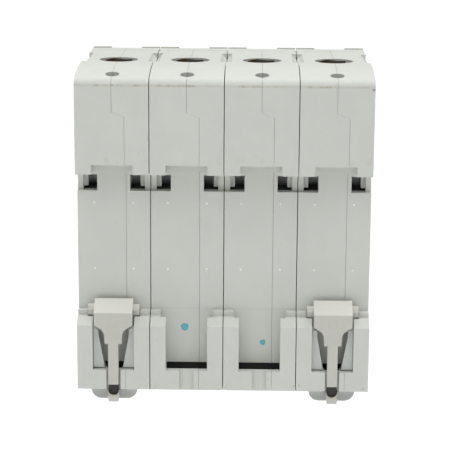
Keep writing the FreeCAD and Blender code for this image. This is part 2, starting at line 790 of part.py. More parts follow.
# ---------------------------------------------------------------- contact rotor
def make_rotor():
    rotor = body("contact_rotor")
    rod(rotor, "x", ("-rotor_half_length", "0", "0"), "2 * rotor_half_length", "rotor_radius")
    near = f"{pole_centre(3)} + 3.3"
    turned_box(rotor, (near, f"{near} + 1.6"), ("-1.9", "1.9"), ("-crank_radius - 1.9", "0"))
    slot_side = ("-link_radius - 0.2", "link_radius + 0.2")
    slot_reach = ("-crank_radius - link_radius - 0.15", "-crank_radius + link_radius + 1.35")
    turned_box(rotor, (f"{near} - 1", f"{near} + 3"), slot_side, slot_reach, cut=True)
    for pole in POLES:
        centre = pole_centre(pole)
        slot = (f"{centre} - blade_half_width - 0.1", f"{centre} + blade_half_width + 0.1")
        box(rotor, slot, ("-blade_thickness / 2 - 0.1", "blade_thickness / 2 + 0.1"), ("-6", "6"), cut=True)
    place(rotor, "0", "-rotor_depth", "rotor_height", "-rotor_open_angle")


def make_blade(pole):
    blade = body(f"moving_contact_{pole}")
    thick = ("-blade_thickness / 2", "blade_thickness / 2")
    tall = ("-blade_half_length", "blade_half_length")
    box(blade, ("-blade_half_width", "blade_half_width"), thick, tall)
    button = "contact_thickness + 0.1"
    start = ("0", "-blade_thickness / 2 - contact_thickness", "contact_offset")
    rod(blade, "y", start, button, "contact_radius")
    rod(blade, "y", ("0", "blade_thickness / 2 - 0.1", "-contact_offset"), button, "contact_radius")
    place(blade, pole_centre(pole), "-rotor_depth", "rotor_height", "-rotor_open_angle")


def make_splitters():
    plates = []
    for pole in POLES:
        for offset in (-4, 0, 4):
            splitter = body(f"splitter_{pole}_{offset + 4}", kept=False)
            x = f"{pole_centre(pole)} + {offset}"
            box(splitter, (f"{x} - 0.4", f"{x} + 0.4"), ("-20.5", "-13.2"), ("17.3", "20.5"))
            plates.append(splitter)
    gather("arc_splitters", plates)


# ---------------------------------------------------------------- summation transformer
def make_transformer():
    core = body("summation_core")
    rod(core, "z", ("0", "-core_depth", "-core_bottom"), "core_height", "core_outer_radius")
    rod(core, "z", ("0", "-core_depth", "-core_bottom - 1"), "core_height + 2", "core_inner_radius", cut=True)
    winding = body("secondary_winding")
    wall = "winding_wall"
    ring = [
        (f"core_inner_radius - {wall}", f"-core_bottom - {wall}"),
        (f"core_outer_radius + {wall}", f"-core_bottom - {wall}"),
        (f"core_outer_radius + {wall}", f"-core_bottom + core_height + {wall}"),
        (f"core_inner_radius - {wall}", f"-core_bottom + core_height + {wall}"),
    ]
    hollow = [
        ("core_inner_radius - 0.05", "-core_bottom - 0.05"),
        ("core_outer_radius + 0.05", "-core_bottom - 0.05"),
        ("core_outer_radius + 0.05", "-core_bottom + core_height + 0.05"),
        ("core_inner_radius - 0.05", "-core_bottom + core_height + 0.05"),
    ]
    for outline, kind in ((ring, "PartDesign::Revolution"), (hollow, "PartDesign::Groove")):
        drawing = sketch(winding, "XZ", outline, "0")
        turned = winding.newObject(kind, "Turn")
        turned.Profile = drawing
        turned.ReferenceAxis = (drawing, ["V_Axis"])
        turned.Angle = 360
        drawing.Visibility = False
    box(winding, ("-3", "3"), ("5", "20"), ("-30", "0"), cut=True)
    place(winding, "0", "-core_depth")


# ---------------------------------------------------------------- operating mechanism
def make_toggle():
    toggle = body("toggle")
    rod(toggle, "x", ("-barrel_half", "0", "0"), "2 * barrel_half", "barrel_radius")
    handle = [
        ("0", "-3.2"),
        ("-handle_reach + 1.1", "-1.5", "-1.7"),
        ("-handle_reach + 1.1", "1.5"),
        ("0", "3.2"),
    ]
    plate(toggle, "YZ", handle, ("-barrel_half + 0.4", "barrel_half - 0.4"))
    length = "2 * (pole_width / 2 - side_wall + 0.9)"
    rod(toggle, "x", ("-(pole_width / 2 - side_wall + 0.9)", "0", "0"), length, "axle_radius")
    rod(toggle, "x", ("1.8", "0", "toggle_crank"), "barrel_half", "link_radius + 0.05", cut=True)
    for rib in range(3):
        box(toggle, ("-6", "6"), (f"-handle_reach + 3 + {rib} * 1.3", f"-handle_reach + 3.6 + {rib} * 1.3"),
            ("1.6", "4"), cut=True)
    place(toggle, pole_centre(3), "-toggle_depth", "0", "toggle_angle")


def make_link():
    """Wire link from the toggle's crank to the slot of the rotor's crank, bent inwards at both ends."""
    link = body("toggle_link")
    swing = "toggle_angle * 1 deg"
    lead = "rotor_open_angle / 2 * 1 deg"
    reach = f"toggle_depth - rotor_depth + toggle_crank * sin({swing}) - crank_radius * sin({lead})"
    drop = f"rotor_height - crank_radius * cos({lead}) - toggle_crank * cos({swing})"
    start = FreeCAD.Vector(0, 0, 0)
    end = FreeCAD.Vector(0, number_of(reach), number_of(drop))
    leg = link.newObject("PartDesign::AdditiveCylinder", "Leg")
    leg.Placement = FreeCAD.Placement(start, FreeCAD.Rotation(FreeCAD.Vector(0, 0, 1), end))
    bind(leg, "Height", f"sqrt(({reach}) ^ 2 + ({drop}) ^ 2)")
    bind(leg, "Radius", "link_radius")
    for centre, length in ((start, 3.6), (end, 2.2)):
        bend = link.newObject("PartDesign::AdditiveSphere", "Bend")
        bend.Placement.Base = centre
        bind(bend, "Radius", "link_radius")
        pin = link.newObject("PartDesign::AdditiveCylinder", "Pin")
        pin.Placement = FreeCAD.Placement(centre - FreeCAD.Vector(length, 0, 0), TURN["x"])
        pin.Height = length
        bind(pin, "Radius", "link_radius")
    crank_y = f"-toggle_depth - toggle_crank * sin({swing})"
    place(link, f"{pole_centre(3)} + link_plane", crank_y, f"toggle_crank * cos({swing})")


def make_springs():
    toggle_spring = body("toggle_spring")
    spring(toggle_spring, "x", (f"{pole_centre(3)} - 6.7", "-toggle_depth", "0"), "2.4", "0.25", "0.7", "1.5")
    opening_spring = body("opening_spring")
    start = (f"{pole_centre(1)} - 6.6", "-rotor_depth", "rotor_height")
    spring(opening_spring, "x", start, "5.2", "0.4", "1.1", "3.2")
    button_spring = body("button_spring")
    spring(button_spring, "y", (pole_centre(2), "-56.6", "button_height"), "2.4", "0.25", "1.1", "4.7")
    trip_spring = body("trip_spring")
    start = (f"{pole_centre(4)} + 3", "-trip_depth", "trip_height")
    spring(trip_spring, "x", start, "2.1", "0.25", "0.8", "2.4")


def make_test_circuit():
    button = body("test_button")
    wide = ("-button_half", "button_half")
    box(button, wide, ("-cap_front - button_proud", "-57.2"), ("-button_half", "button_half"))
    box(button, ("-4.4", "4.4"), ("-58.3", "-57.2"), ("-4.4", "4.4"))
    rod(button, "y", ("0", "-57.3", "0"), "7.5", "1.5")
    place(button, pole_centre(2), "0", "button_height")
    blade = body("test_contact_blade")
    box(blade, ("-2", "2"), ("-48.0", "-47.6"), ("-5", "4"))
    box(blade, ("-2", "2"), ("-48.0", "-44"), ("-5.4", "-5"))
    place(blade, pole_centre(2), "0", "button_height")
    resistor = body("test_resistor")
    rod(resistor, "x", ("-3.5", "0", "0"), "7", "1.5")
    rod(resistor, "x", ("-6", "0", "0"), "12", "0.35")
    place(resistor, pole_centre(2), "-40", "12")


def make_indicator():
    flag = body("contact_flag")
    pin_reach = "pole_width / 2 - side_wall + 0.8"
    rod(flag, "x", (f"-({pin_reach})", "0", "0"), f"2 * ({pin_reach})", "1")
    box(flag, ("-3.6", "3.6"), ("-flag_radius + 0.3", "0"), ("-0.5", "0.5"))
    rim = [
        ("-flag_radius * 0.809", "-flag_radius * 0.588", "-flag_radius"),
        ("-flag_radius * 0.809", "flag_radius * 0.588"),
        ("-(flag_radius - 0.9) * 0.809", "(flag_radius - 0.9) * 0.588", "flag_radius - 0.9"),
        ("-(flag_radius - 0.9) * 0.809", "-(flag_radius - 0.9) * 0.588"),
    ]
    plate(flag, "YZ", rim, ("-3.6", "3.6"))
    place(flag, pole_centre(3), "-flag_depth", "flag_height", "16")
    lens = body("indicator_lens")
    half = "window_half - 0.05"
    tall = ("window_low + 0.05", "window_high - 0.05")
    box(lens, (f"-({half})", half), ("-cap_front + 0.2", "-cap_front + 0.9"), tall)
    place(lens, pole_centre(3))
    label = body("label_plate")
    box(label, ("-33.5", "-19"), ("-cap_front - 0.4", "-cap_front"), ("-17", "17"))


def make_trip():
    relay = body("trip_relay")
    depth_span = ("-relay_front", "-relay_back")
    box(relay, ("-6", "6"), depth_span, ("relay_low", "relay_high"))
    rod(relay, "z", ("0", "-plunger_depth", "relay_low + 3"), "20", "1.05", cut=True)
    place(relay, pole_centre(4))
    plunger = body("relay_plunger")
    rod(plunger, "z", ("0", "-plunger_depth", "relay_low + 4"), "10.2", "1")
    place(plunger, pole_centre(4))
    lever = body("trip_lever")
    start = f"{pole_centre(3)} - 5.5"
    end = f"{pole_centre(4)} + 6.8"
    rod(lever, "x", (start, "0", "0"), f"{end} - ({start})", "axle_radius")
    centre = pole_centre(4)
    box(lever, (f"{centre} - 2", f"{centre} + 2"), ("0", "6.5"), ("-1.2", "0"))
    nose = [("-1", "0"), ("1", "0.5"), ("8.5", "-3.2"), ("8.2", "-5.2"), ("7", "-4")]
    plate(lever, "YZ", nose, (f"{pole_centre(3)} - 5", f"{pole_centre(3)} - 3.4"))
    place(lever, "0", "-trip_depth", "trip_height")


def check_and_write(pieces):
    doc.recompute()
    for item in doc.Objects:
        if "Invalid" in item.State or "Error" in item.State:
            raise RuntimeError(f"{item.Label} could not be built: {item.State}")
    os.makedirs("parts", exist_ok=True)
    for piece in pieces:
        shape = piece.Shape
        if shape.isNull() or not shape.isValid() or not shape.Solids:
            raise RuntimeError(f"{piece.Label} has no valid solid")
        print(piece.Label, len(shape.Solids), round(shape.Volume, 2))
        shape.exportStep(f"parts/{piece.Label}.step")


make_housings()
make_rivets()
for clip_pole in (1, 4):
    make_clip(clip_pole)
    make_guide(clip_pole)
for terminal_pole in POLES:
    for terminal_end in ENDS:
        make_terminal(terminal_pole, terminal_end)
    make_upper_bar(terminal_pole)
    make_conductor(terminal_pole)
    make_blade(terminal_pole)
make_rotor()
make_splitters()
make_transformer()
make_toggle()
make_link()
make_springs()
make_test_circuit()
make_indicator()
make_trip()
check_and_write(subparts)
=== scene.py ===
import json
import math

import bmesh
import bpy
from mathutils import Euler, Matrix, Vector


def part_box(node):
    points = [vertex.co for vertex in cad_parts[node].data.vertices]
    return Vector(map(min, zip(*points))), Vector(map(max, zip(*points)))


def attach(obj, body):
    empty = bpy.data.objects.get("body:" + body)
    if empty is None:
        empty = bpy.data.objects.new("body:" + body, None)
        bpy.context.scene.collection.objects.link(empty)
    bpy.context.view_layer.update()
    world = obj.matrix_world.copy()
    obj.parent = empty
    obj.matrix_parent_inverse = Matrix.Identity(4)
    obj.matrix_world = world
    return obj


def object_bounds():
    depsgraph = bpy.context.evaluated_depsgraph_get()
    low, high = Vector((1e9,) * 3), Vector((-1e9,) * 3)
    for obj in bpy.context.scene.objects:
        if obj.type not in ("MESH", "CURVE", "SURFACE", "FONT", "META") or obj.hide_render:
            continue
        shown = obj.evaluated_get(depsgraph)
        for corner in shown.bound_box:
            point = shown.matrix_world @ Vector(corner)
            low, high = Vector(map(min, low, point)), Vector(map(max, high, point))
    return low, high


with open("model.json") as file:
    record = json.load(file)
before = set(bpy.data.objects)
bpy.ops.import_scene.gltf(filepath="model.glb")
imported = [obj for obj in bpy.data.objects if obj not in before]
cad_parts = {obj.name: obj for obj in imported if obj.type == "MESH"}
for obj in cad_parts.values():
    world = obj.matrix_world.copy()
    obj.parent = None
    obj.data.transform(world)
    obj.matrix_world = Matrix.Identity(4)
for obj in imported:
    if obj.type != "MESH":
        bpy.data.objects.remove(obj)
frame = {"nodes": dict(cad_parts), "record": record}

cad_low, cad_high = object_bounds()

MM = 0.001
PITCH = 17.5 * MM
POLES = (1, 2, 3, 4)
CLIP_POLES = (1, 4)


def pole_x(pole):
    return PITCH * (pole - 2.5)


# The planes of the housing and the flag's axis, read from the frame.
shell_low, shell_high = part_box("pole_2_left_shell")
BACK = shell_high.y
CAP_FRONT = shell_low.y
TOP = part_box("pole_1_right_shell")[1].z
flag_joint = next(joint for joint in frame["record"]["behaviour"]["joints"] if joint["name"] == "flag_turn")
FLAG_AXIS = Vector(flag_joint["pos_m"])

# Places on the pieces: X from a pole's middle, Y from the rail seat, Z from the rail centre line.
SEAM_X = 2.95 * MM
NOTCH_HALF = 4.89 * MM
ENTRY_DEPTH = -17.7 * MM
ENTRY_RADIUS = 4.66 * MM
WINDOW_Z = (10.7 * MM, 15.4 * MM)
WINDOW_Y = (-9 * MM, -2.9 * MM)
SLOT_Z = (-37.4 * MM, -31.2 * MM)
SLOT_Y = (-5 * MM, -0.12 * MM)
SCOOP_Z = (-38.35 * MM, -35.5 * MM)
SCOOP_FILM_Z = (-38.5 * MM, -36.9 * MM)
CLIP_HEAD_FOOT = -17.75 * MM
CLIP_RING_Z = -20.1 * MM
CLIP_RING_RADIUS = 1.13 * MM
WINDING_DEPTH = 30 * MM
# Near black, used for the painted shade in the recesses.
BLACK = (0.012, 0.012, 0.011, 1)


# ------------------------------------------------------------------ materials
class Nodes:
    """Short hand for building one node material."""

    def __init__(self, name):
        self.material = bpy.data.materials.new(name)
        self.material.use_nodes = True
        self.tree = self.material.node_tree
        self.shader = self.tree.nodes["Principled BSDF"]
        self.place = self.tree.nodes.new("ShaderNodeTexCoord").outputs["Object"]

    def add(self, kind, **inputs):
        node = self.tree.nodes.new(kind)
        for key, value in inputs.items():
            self.feed(node, key.replace("_", " "), value)
        return node

    def feed(self, node, socket, value):
        target = node.inputs[socket]
        if isinstance(value, bpy.types.NodeSocket):
            self.tree.links.new(value, target)
        else:
            target.default_value = value

    def noise(self, scale, detail=3.0, roughness=0.5, stretch=(1, 1, 1)):
        mapping = self.add("ShaderNodeMapping", Vector=self.place)
        mapping.inputs["Scale"].default_value = stretch
        node = self.add("ShaderNodeTexNoise", Vector=mapping.outputs[0], Scale=scale, Detail=detail)
        node.inputs["Roughness"].default_value = roughness
        return node.outputs["Fac"]

    def band(self, value, low, high, to_low=0.0, to_high=1.0):
        node = self.tree.nodes.new("ShaderNodeMapRange")
        node.interpolation_type = "SMOOTHSTEP"
        for index, item in enumerate((value, low, high, to_low, to_high)):
            self.feed(node, ("Value", "From Min", "From Max", "To Min", "To Max")[index], item)
        return node.outputs["Result"]

    def math(self, operation, first, second=0.0, third=0.0):
        node = self.tree.nodes.new("ShaderNodeMath")
        node.operation = operation
        for index, item in enumerate((first, second, third)):
            self.feed(node, index, item)
        return node.outputs[0]

    def product(self, first, *others):
        for other in others:
            first = self.math("MULTIPLY", first, other)
        return first

    def mix(self, factor, first, second):
        node = self.tree.nodes.new("ShaderNodeMix")
        node.data_type = "RGBA"
        for index, item in ((0, factor), (6, first), (7, second)):
            self.feed(node, index, item)
        return node.outputs[2]

    def axis(self, name):
        node = self.add("ShaderNodeSeparateXYZ", Vector=self.place)
        return node.outputs[name]

    def bump(self, height, strength, distance, below=None):
        node = self.add("ShaderNodeBump", Height=height)
        node.inputs["Strength"].default_value = strength
        node.inputs["Distance"].default_value = distance
        if below is not None:
            self.feed(node, "Normal", below)
        return node.outputs["Normal"]

    def finish(self, colour, roughness, normal=None, **fixed):
        self.feed(self.shader, "Base Color", colour)
        self.feed(self.shader, "Roughness", roughness)
        if normal is not None:
            self.feed(self.shader, "Normal", normal)
        for key, value in fixed.items():
            self.shader.inputs[key.replace("_", " ")].default_value = value
        return self.material


def shade(colour, factor):
    return (colour[0] * factor, colour[1] * factor, colour[2] * factor, 1.0)


def near(nodes, value, centre, reach):
    """1 on a plane and 0 beyond a reach from it."""
    distance = nodes.math("ABSOLUTE", nodes.math("SUBTRACT", value, centre))
    return nodes.band(distance, 0.0, reach, 1.0, 0.0)


def moulded_plastic(name, colour, roughness=0.5, grain=1.0, dirt_and_shade=False):
    """Injection moulded plastic: fine spark-eroded grain, cloudy tone, faint scratches and specks."""
    nodes = Nodes(name)
    cloud = nodes.noise(90, 3)
    tone = nodes.mix(nodes.band(cloud, 0.35, 0.65), shade(colour, 0.985), shade(colour, 1.015))
    specks = nodes.band(nodes.noise(1500, 2), 0.72, 0.76)
    tone = nodes.mix(nodes.product(specks, 0.22), tone, (0.24, 0.21, 0.16, 1))
    scratch = nodes.band(nodes.noise(900, 2, stretch=(1, 1, 0.04)), 0.68, 0.74)
    tone = nodes.mix(nodes.product(scratch, 0.10), tone, shade(colour, 1.12))
    # Optionally adds dirt, a chip and stains, and painted shade in the recesses and along the recess floor.
    if dirt_and_shade:
        tone = add_handling_dirt(nodes, tone)
    fine = nodes.noise(5200, 2)
    broad = nodes.noise(420, 3)
    normal = nodes.bump(fine, 0.10 * grain, 0.00006)
    normal = nodes.bump(broad, 0.05 * grain, 0.0002, below=normal)
    rough = nodes.band(broad, 0.3, 0.7, roughness - 0.04, roughness + 0.05)
    return nodes.finish(tone, rough, normal, Specular_IOR_Level=0.42)


def add_handling_dirt(nodes, tone):
    """Brownish dirt on the rear top edge, smudges in the lower rear corners and at the module seams, a dark
    chip at one top corner and a stain by the hook; also a faint painted shade line on the recess floor and
    painted shade in the recesses.
    """
    x, y, z = nodes.axis("X"), nodes.axis("Y"), nodes.axis("Z")
    rear = nodes.band(y, BACK - 1.2 * MM, BACK - 0.2 * MM)
    top_edge = near(nodes, z, TOP - 3.72 * MM, 0.42 * MM)
    patchy = nodes.band(nodes.noise(420, 4, 0.65, stretch=(1, 1, 0.5)), 0.44, 0.66, 0.16, 0.75)
    tone = nodes.mix(nodes.product(rear, top_edge, patchy), tone, (0.36, 0.32, 0.22, 1))
    chip = nodes.product(near(nodes, x, -34.6 * MM, 0.7 * MM), near(nodes, z, 36.2 * MM, 0.45 * MM), rear)
    tone = nodes.mix(nodes.product(chip, 0.8), tone, (0.10, 0.09, 0.07, 1))
    # Painted shade: a faint grey line on the recess floor at the clip head's foot.
    seat = nodes.product(near(nodes, y, 0.0, 0.1 * MM), near(nodes, z, CLIP_HEAD_FOOT, 0.22 * MM))
    tone = nodes.mix(nodes.product(seat, 0.10), tone, (0.25, 0.27, 0.26, 1))
    # Painted shade: the window and slot recesses are darkened towards black.
    tone = shadowed_recesses(nodes, tone)
    foot = near(nodes, z, -35.6 * MM, 1.0 * MM)
    to_seam = nodes.math("ABSOLUTE", nodes.math("WRAP", x, PITCH / 2, -PITCH / 2))
    corner = nodes.band(to_seam, 0.6 * MM, 2.6 * MM, 1.0, 0.0)
    marks = nodes.band(nodes.noise(1300, 4, 0.6), 0.58, 0.66)
    tone = nodes.mix(nodes.product(foot, corner, marks, rear, 0.7), tone, (0.22, 0.19, 0.14, 1))
    hook = near(nodes, z, 19.2 * MM, 1.6 * MM)
    stain = nodes.product(hook, nodes.band(nodes.noise(260, 3), 0.58, 0.72), rear)
    return nodes.mix(nodes.product(stain, 0.25), tone, (0.46, 0.40, 0.30, 1))


def inside(nodes, value, low, high, soft=0.12 * MM):
    """1 between two planes, 0 outside them."""
    rising = nodes.band(value, low - soft, low + soft)
    falling = nodes.band(value, high - soft, high + soft, 1.0, 0.0)
    return nodes.product(rising, falling)


def shadowed_recesses(nodes, tone):
    """Painted shade and light: the lower inside of the windows under the hook and the slot above the
    crossbar are painted near black, and the upper inside of each window is painted pale.
    """
    x, y, z = nodes.axis("X"), nodes.axis("Y"), nodes.axis("Z")
    indoors = nodes.band(nodes.math("ABSOLUTE", x), 34.3 * MM, 34.5 * MM, 1.0, 0.0)
    window = nodes.product(inside(nodes, z, *WINDOW_Z), inside(nodes, y, *WINDOW_Y))
    # Painted shade: the lower inside of each window and the slot are darkened towards black. Painted light:
    # the upper inside of each window is lightened towards pale grey.
    low = nodes.band(z, 10.8 * MM, 12.7 * MM, 0.9, 0.0)
    upper = nodes.product(window, nodes.band(z, 11.8 * MM, 13.2 * MM, 0.0, 0.8))
    tone = nodes.mix(nodes.product(upper, indoors), tone, (0.86, 0.88, 0.88, 1))
    slot = nodes.product(inside(nodes, z, *SLOT_Z), inside(nodes, y, *SLOT_Y))
    dark = nodes.math("MAXIMUM", nodes.product(window, low), nodes.product(slot, 0.97))
    return nodes.mix(nodes.product(dark, indoors), tone, BLACK)


def worn_metal(name, colour, roughness=0.35, tarnish=(0.25, 0.18, 0.10, 1), amount=0.25, lines=(1, 1, 30)):
    """Plated or bare metal with drawn lines and a patchy film of tarnish."""
    nodes = Nodes(name)
    patches = nodes.band(nodes.noise(320, 4, 0.6), 0.45, 0.72)
    tone = nodes.mix(nodes.product(patches, amount), shade(colour, 1.0), tarnish)
    drawn = nodes.noise(160, 2, stretch=lines)
    rough = nodes.band(drawn, 0.3, 0.7, roughness - 0.07, roughness + 0.12)
    return nodes.finish(tone, rough, nodes.bump(drawn, 0.12, 0.00005), Metallic=1.0)


def wound_copper(name, colour, depth):
    """Enamelled wire laid side by side: ridges that run across the ring."""
    nodes = Nodes(name)
    flat = nodes.add("ShaderNodeMapping", Vector=nodes.place)
    flat.inputs["Location"].default_value = (0, depth, 0)
    parts = nodes.add("ShaderNodeSeparateXYZ", Vector=flat.outputs[0])
    turn = nodes.math("ARCTAN2", parts.outputs["X"], parts.outputs["Y"])
    ridge = nodes.math("SINE", nodes.product(turn, 150.0))
    tone = nodes.mix(nodes.band(ridge, -0.9, 0.6), shade(colour, 0.45), shade(colour, 1.0))
    return nodes.finish(tone, 0.32, nodes.bump(ridge, 0.8, 0.0002), Metallic=0.9)


def guide_plastic(name, colour, roughness):
    """The guides behind the clips: greyer plastic, with painted shade darkening the lug under the housing.
    """
    nodes = Nodes(name)
    tone = nodes.mix(nodes.band(nodes.noise(90, 3), 0.35, 0.65), shade(colour, 0.985), shade(colour, 1.015))
    # Painted shade: the lug is darkened towards its bottom.
    lug = nodes.band(nodes.axis("Z"), -39.0 * MM, -37.0 * MM, 0.7, 0.0)
    tone = nodes.mix(lug, tone, shade(colour, 0.62))
    broad = nodes.noise(420, 3)
    normal = nodes.bump(nodes.noise(5200, 2), 0.07, 0.00006)
    rough = nodes.band(broad, 0.3, 0.7, roughness - 0.04, roughness + 0.05)
    return nodes.finish(tone, rough, normal, Specular_IOR_Level=0.42)


def clip_plastic(name, colour, roughness):
    """The sliding clips: creamier plastic, with a brownish film low down, the floor of the tool scoop
    painted near black as painted shade, and a painted highlight on the head.
    """
    nodes = Nodes(name)
    tone = nodes.mix(nodes.band(nodes.noise(110, 3), 0.35, 0.65), shade(colour, 0.985), shade(colour, 1.015))
    rubbed = nodes.band(nodes.noise(700, 3, stretch=(1, 1, 0.15)), 0.62, 0.74)
    tone = nodes.mix(nodes.product(rubbed, 0.08), tone, shade(colour, 1.12))
    y, z = nodes.axis("Y"), nodes.axis("Z")
    # Painted shade: the floor of the tool scoop is darkened to near black.
    floor = nodes.band(y, 4.5 * MM, 4.9 * MM, 1.0, 0.0)
    scoop_shade = nodes.product(floor, inside(nodes, z, *SCOOP_Z, 0.05 * MM))
    film = nodes.product(inside(nodes, z, *SCOOP_FILM_Z, 0.2 * MM), 0.35)
    tone = nodes.mix(film, tone, (0.36, 0.29, 0.19, 1))
    tone = nodes.mix(nodes.product(scoop_shade, 0.97), tone, (0.02, 0.019, 0.017, 1))
    # Painted highlight: the clip head above its foot is lightened.
    head = nodes.band(z, CLIP_HEAD_FOOT - 0.15 * MM, CLIP_HEAD_FOOT + 0.15 * MM, 0.0, 0.8)
    tone = nodes.mix(head, tone, shade(colour, 1.3))
    across = nodes.math("SUBTRACT", nodes.math("ABSOLUTE", nodes.axis("X")), 1.5 * PITCH)
    along = nodes.math("SUBTRACT", z, CLIP_RING_Z)
    squares = nodes.math("ADD", nodes.product(across, across), nodes.product(along, along))
    pin_ring = near(nodes, nodes.math("SQRT", squares), CLIP_RING_RADIUS, 0.09 * MM)
    tone = nodes.mix(nodes.product(pin_ring, 0.3), tone, shade(colour, 0.72))
    normal = nodes.bump(nodes.noise(4200, 2), 0.06, 0.00006)
    normal = nodes.bump(pin_ring, 0.4, 0.00004, below=normal)
    rough = nodes.band(nodes.noise(420, 3), 0.3, 0.7, roughness - 0.04, roughness + 0.05)
    return nodes.finish(tone, rough, normal, Specular_IOR_Level=0.42)


def flag_plastic(name, open_colour, closed_colour, roughness):
    """The contact flag: one printed zone for each position on its rim, and black elsewhere."""
    nodes = Nodes(name)
    forward = nodes.math("SUBTRACT", FLAG_AXIS.y, nodes.axis("Y"))
    rise = nodes.math("SUBTRACT", nodes.axis("Z"), FLAG_AXIS.z)
    angle = nodes.math("ARCTAN2", rise, forward)
    closed = nodes.band(angle, math.radians(-28.5), math.radians(-27.5))
    opened = nodes.band(angle, math.radians(-12.5), math.radians(-11.5))
    tone = nodes.mix(closed, (0.018, 0.018, 0.018, 1), shade(closed_colour, 1.0))
    tone = nodes.mix(opened, tone, shade(open_colour, 1.0))
    cloud = nodes.noise(300, 3)
    rough = nodes.band(cloud, 0.3, 0.7, roughness - 0.04, roughness + 0.05)
    return nodes.finish(tone, rough, nodes.bump(cloud, 0.05, 0.0001))


def clear_lens(name, colour):
    nodes = Nodes(name)
    haze = nodes.noise(600, 3)
    rough = nodes.band(haze, 0.3, 0.7, 0.05, 0.14)
    tone = nodes.mix(haze, shade(colour, 0.96), shade(colour, 1.0))
    return nodes.finish(tone, rough, IOR=1.49, Alpha=0.22)


def printed_label(name, colour):
    """Pale film with plain rules: no lettering."""
    nodes = Nodes(name)
    z = nodes.axis("Z")
    tone = nodes.mix(nodes.noise(200, 3), shade(colour, 0.97), shade(colour, 1.0))
    for height, half in ((13.5, 0.9), (6.0, 0.18), (-4.0, 0.18), (-12.0, 0.18)):
        rule = near(nodes, z, height * MM, half * 1.05 * MM)
        ink = nodes.band(rule, 0.02, 0.12)
        tone = nodes.mix(nodes.product(ink, 0.75), tone, (0.20, 0.27, 0.33, 1))
    return nodes.finish(tone, 0.4, nodes.bump(nodes.noise(1400, 2), 0.05, 0.00005))


CASE = (0.625, 0.638, 0.600)
MATERIALS = {
    "housing_plastic": lambda name: moulded_plastic(name, CASE, 0.52, dirt_and_shade=True),
    "clip_plastic": lambda name: clip_plastic(name, (0.565, 0.566, 0.522), 0.42),
    "guide_plastic": lambda name: guide_plastic(name, (0.60, 0.62, 0.595), 0.45),
    "cage_steel": lambda name: worn_metal(name, (0.62, 0.60, 0.54), 0.3, (0.45, 0.30, 0.12, 1), 0.55),
    "screw_steel": lambda name: worn_metal(name, (0.60, 0.60, 0.59), 0.28),
    "copper": lambda name: worn_metal(name, (0.80, 0.47, 0.30), 0.3, (0.28, 0.12, 0.06, 1), 0.4),
    "rivet_steel": lambda name: worn_metal(name, (0.44, 0.44, 0.43), 0.42),
    "toggle_plastic": lambda name: moulded_plastic(name, (0.022, 0.023, 0.026), 0.38, 0.8),
    "rotor_plastic": lambda name: moulded_plastic(name, (0.05, 0.05, 0.055), 0.5),
    "spring_steel": lambda name: worn_metal(name, (0.56, 0.56, 0.57), 0.27),
    "button_plastic": lambda name: moulded_plastic(name, (0.62, 0.36, 0.05), 0.36, 0.6),
    "lens": lambda name: clear_lens(name, (0.92, 0.95, 0.95)),
    "flag_plastic": lambda name: flag_plastic(name, (0.05, 0.36, 0.10), (0.42, 0.03, 0.025), 0.4),
    "label_plastic": lambda name: printed_label(name, (0.80, 0.81, 0.80)),
    "core_metal": lambda name: moulded_plastic(name, (0.10, 0.12, 0.17), 0.35, 0.5),
    "relay_casing": lambda name: moulded_plastic(name, (0.06, 0.065, 0.08), 0.42),
    "resistor_body": lambda name: moulded_plastic(name, (0.42, 0.36, 0.22), 0.35, 0.5),
}


def dress_cad_nodes():
    made = {slot: build(slot) for slot, build in MATERIALS.items()}
    made["winding"] = wound_copper("winding", (0.72, 0.30, 0.12), WINDING_DEPTH)
    for entry in frame["record"]["subparts"]:
        node = frame["nodes"][entry["node"]]
        key = "winding" if entry["node"] == "secondary_winding" else entry["material_slot"]
        node.data.materials.clear()
        node.data.materials.append(made[key])


def soften(node, width):
    """A small moulded radius on a node's sharp edges."""
    bevel = frame["nodes"][node].modifiers.new("moulded_edge", "BEVEL")
    bevel.width = width
    bevel.segments = 2
    bevel.limit_method = "ANGLE"
    bevel.angle_limit = math.radians(38)
    bevel.harden_normals = False
    bevel.use_clamp_overlap = True


# ------------------------------------------------------------------ added pieces
def mesh_piece(name, mesh, body, material, smooth=True):
    data = bpy.data.meshes.new(name)
    mesh.normal_update()
    mesh.to_mesh(data)
    mesh.free()
    piece = bpy.data.objects.new(name, data)
    bpy.context.scene.collection.objects.link(piece)
    data.materials.append(material)
    for polygon in data.polygons:
        polygon.use_smooth = smooth
    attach(piece, body)


def lens_shape(mesh, centre, radius, height, wobble=0.0, steps=28):
    """A low domed drop on a wall that faces +Y, with a slightly uneven rim."""
    rings = []
    for level in range(4):
        share = level / 3
        ring_radius = radius * math.cos(share * math.pi / 2 * 0.82)
        lift = height * math.sin(share * math.pi / 2)
        ring = []
        for step in range(steps):
            angle = 2 * math.pi * step / steps
            reach = ring_radius * (1 + wobble * math.sin(3 * angle + 1) + wobble * 0.6 * math.sin(5 * angle))
            place = centre + Vector((reach * math.cos(angle), lift, reach * math.sin(angle)))
            ring.append(mesh.verts.new(place))
        rings.append(ring)
    for low, high in zip(rings, rings[1:]):
        for step in range(steps):
            following = (step + 1) % steps
            mesh.faces.new((low[step], low[following], high[following], high[step]))
    mesh.faces.new(rings[-1])
    mesh.faces.new(list(reversed(rings[0])))


